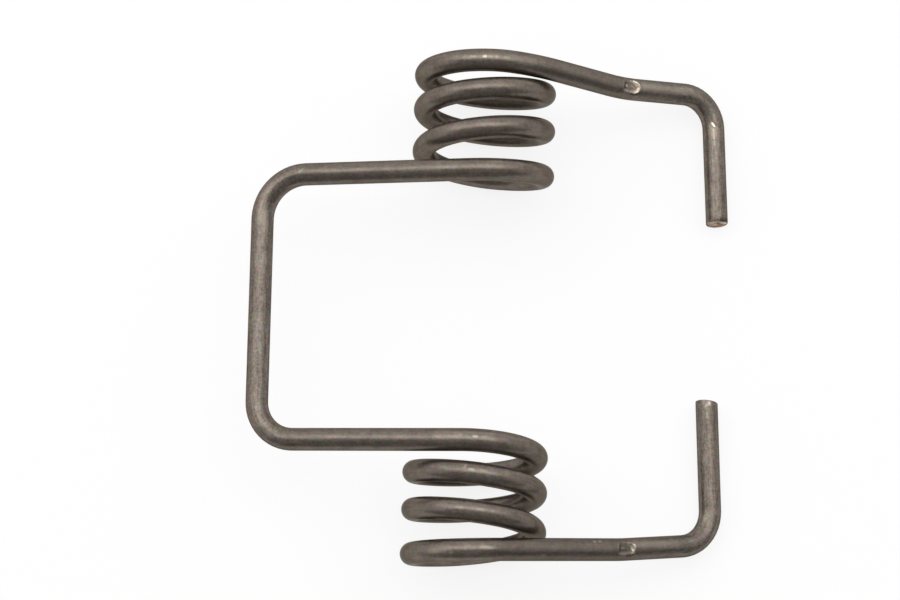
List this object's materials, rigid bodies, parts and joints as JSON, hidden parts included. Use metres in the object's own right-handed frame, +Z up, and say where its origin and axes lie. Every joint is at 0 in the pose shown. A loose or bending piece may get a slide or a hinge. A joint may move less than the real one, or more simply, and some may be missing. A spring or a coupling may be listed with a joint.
{
  "type": "chain adjuster spring",
  "caption": "Double torsion spring of round wire: coils on one axis joined by a bridge, each with a free leg and an inward tang.",
  "frame": {"origin": "on the surface the spring lies on, under the middle of its outline", "axes": "+Y along the coil axis towards the far coil, +X from the bridge towards the tangs, +Z up from the surface"},
  "size_m": [0.0856, 0.0906, 0.0256],
  "materials": {
    "spring_steel": "oil-tempered drawn wire, dark grey-brown, satin"
  },
  "bodies": {
    "root": {"spring_wire": "spring_steel"}
  },
  "joints": []
}
